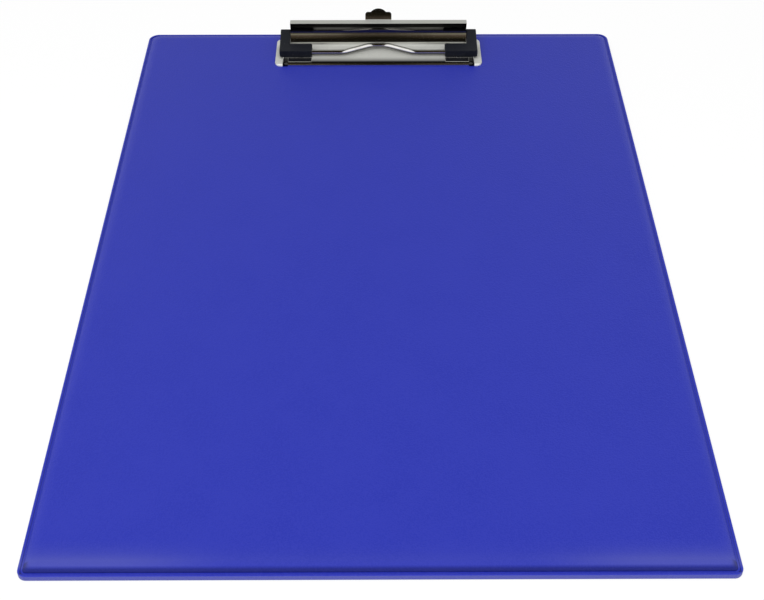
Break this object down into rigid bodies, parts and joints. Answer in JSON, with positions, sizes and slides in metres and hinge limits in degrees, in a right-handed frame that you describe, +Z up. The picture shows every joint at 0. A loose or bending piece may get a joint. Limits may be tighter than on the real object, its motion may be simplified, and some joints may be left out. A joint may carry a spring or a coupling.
{
  "type": "clipboard",
  "caption": "Flat clipboard of a stiff board welded into plastic sheets, with a sprung wire-bow clip on a riveted base plate.",
  "frame": {"origin": "centre of the board's flat underside", "axes": "+X to the right along the short side, +Y along the long side towards the clip, +Z up out of the writing face"},
  "size_m": [0.235, 0.34, 0.0214],
  "materials": {
    "cover_sheet": "satin blue plastic sheet with a fine leather grain",
    "core": "dense brown fibreboard",
    "plate_chrome": "bright nickel plate",
    "lever_chrome": "bright nickel plate",
    "wire_chrome": "bright nickel plate on round wire",
    "grip_plastic": "black moulded plastic with a fine grain",
    "rivet_steel": "nickel plated steel",
    "washer_steel": "zinc plated steel",
    "spring_steel": "bare spring wire"
  },
  "bodies": {
    "board": {"front_cover": "cover_sheet", "back_cover": "cover_sheet", "core_board": "core", "base_plate": "plate_chrome", "rivet_left": "rivet_steel", "rivet_right": "rivet_steel", "washer_left": "washer_steel", "washer_right": "washer_steel", "spring_left": "spring_steel", "spring_right": "spring_steel"},
    "jaw": {"lever": "lever_chrome", "wire_bow": "wire_chrome", "corner_grip_left": "grip_plastic", "corner_grip_right": "grip_plastic"}
  },
  "joints": [
    {"name": "jaw_hinge", "type": "hinge", "parent": "board", "child": "jaw", "pos_m": [0, 0.1598, 0.00893], "axis": [-1, 0, 0], "range_deg": [0, 70], "stiffness_Nm_per_rad": 0.05, "springref_deg": -45.84, "deforming": ["spring_left", "spring_right"]}
  ]
}
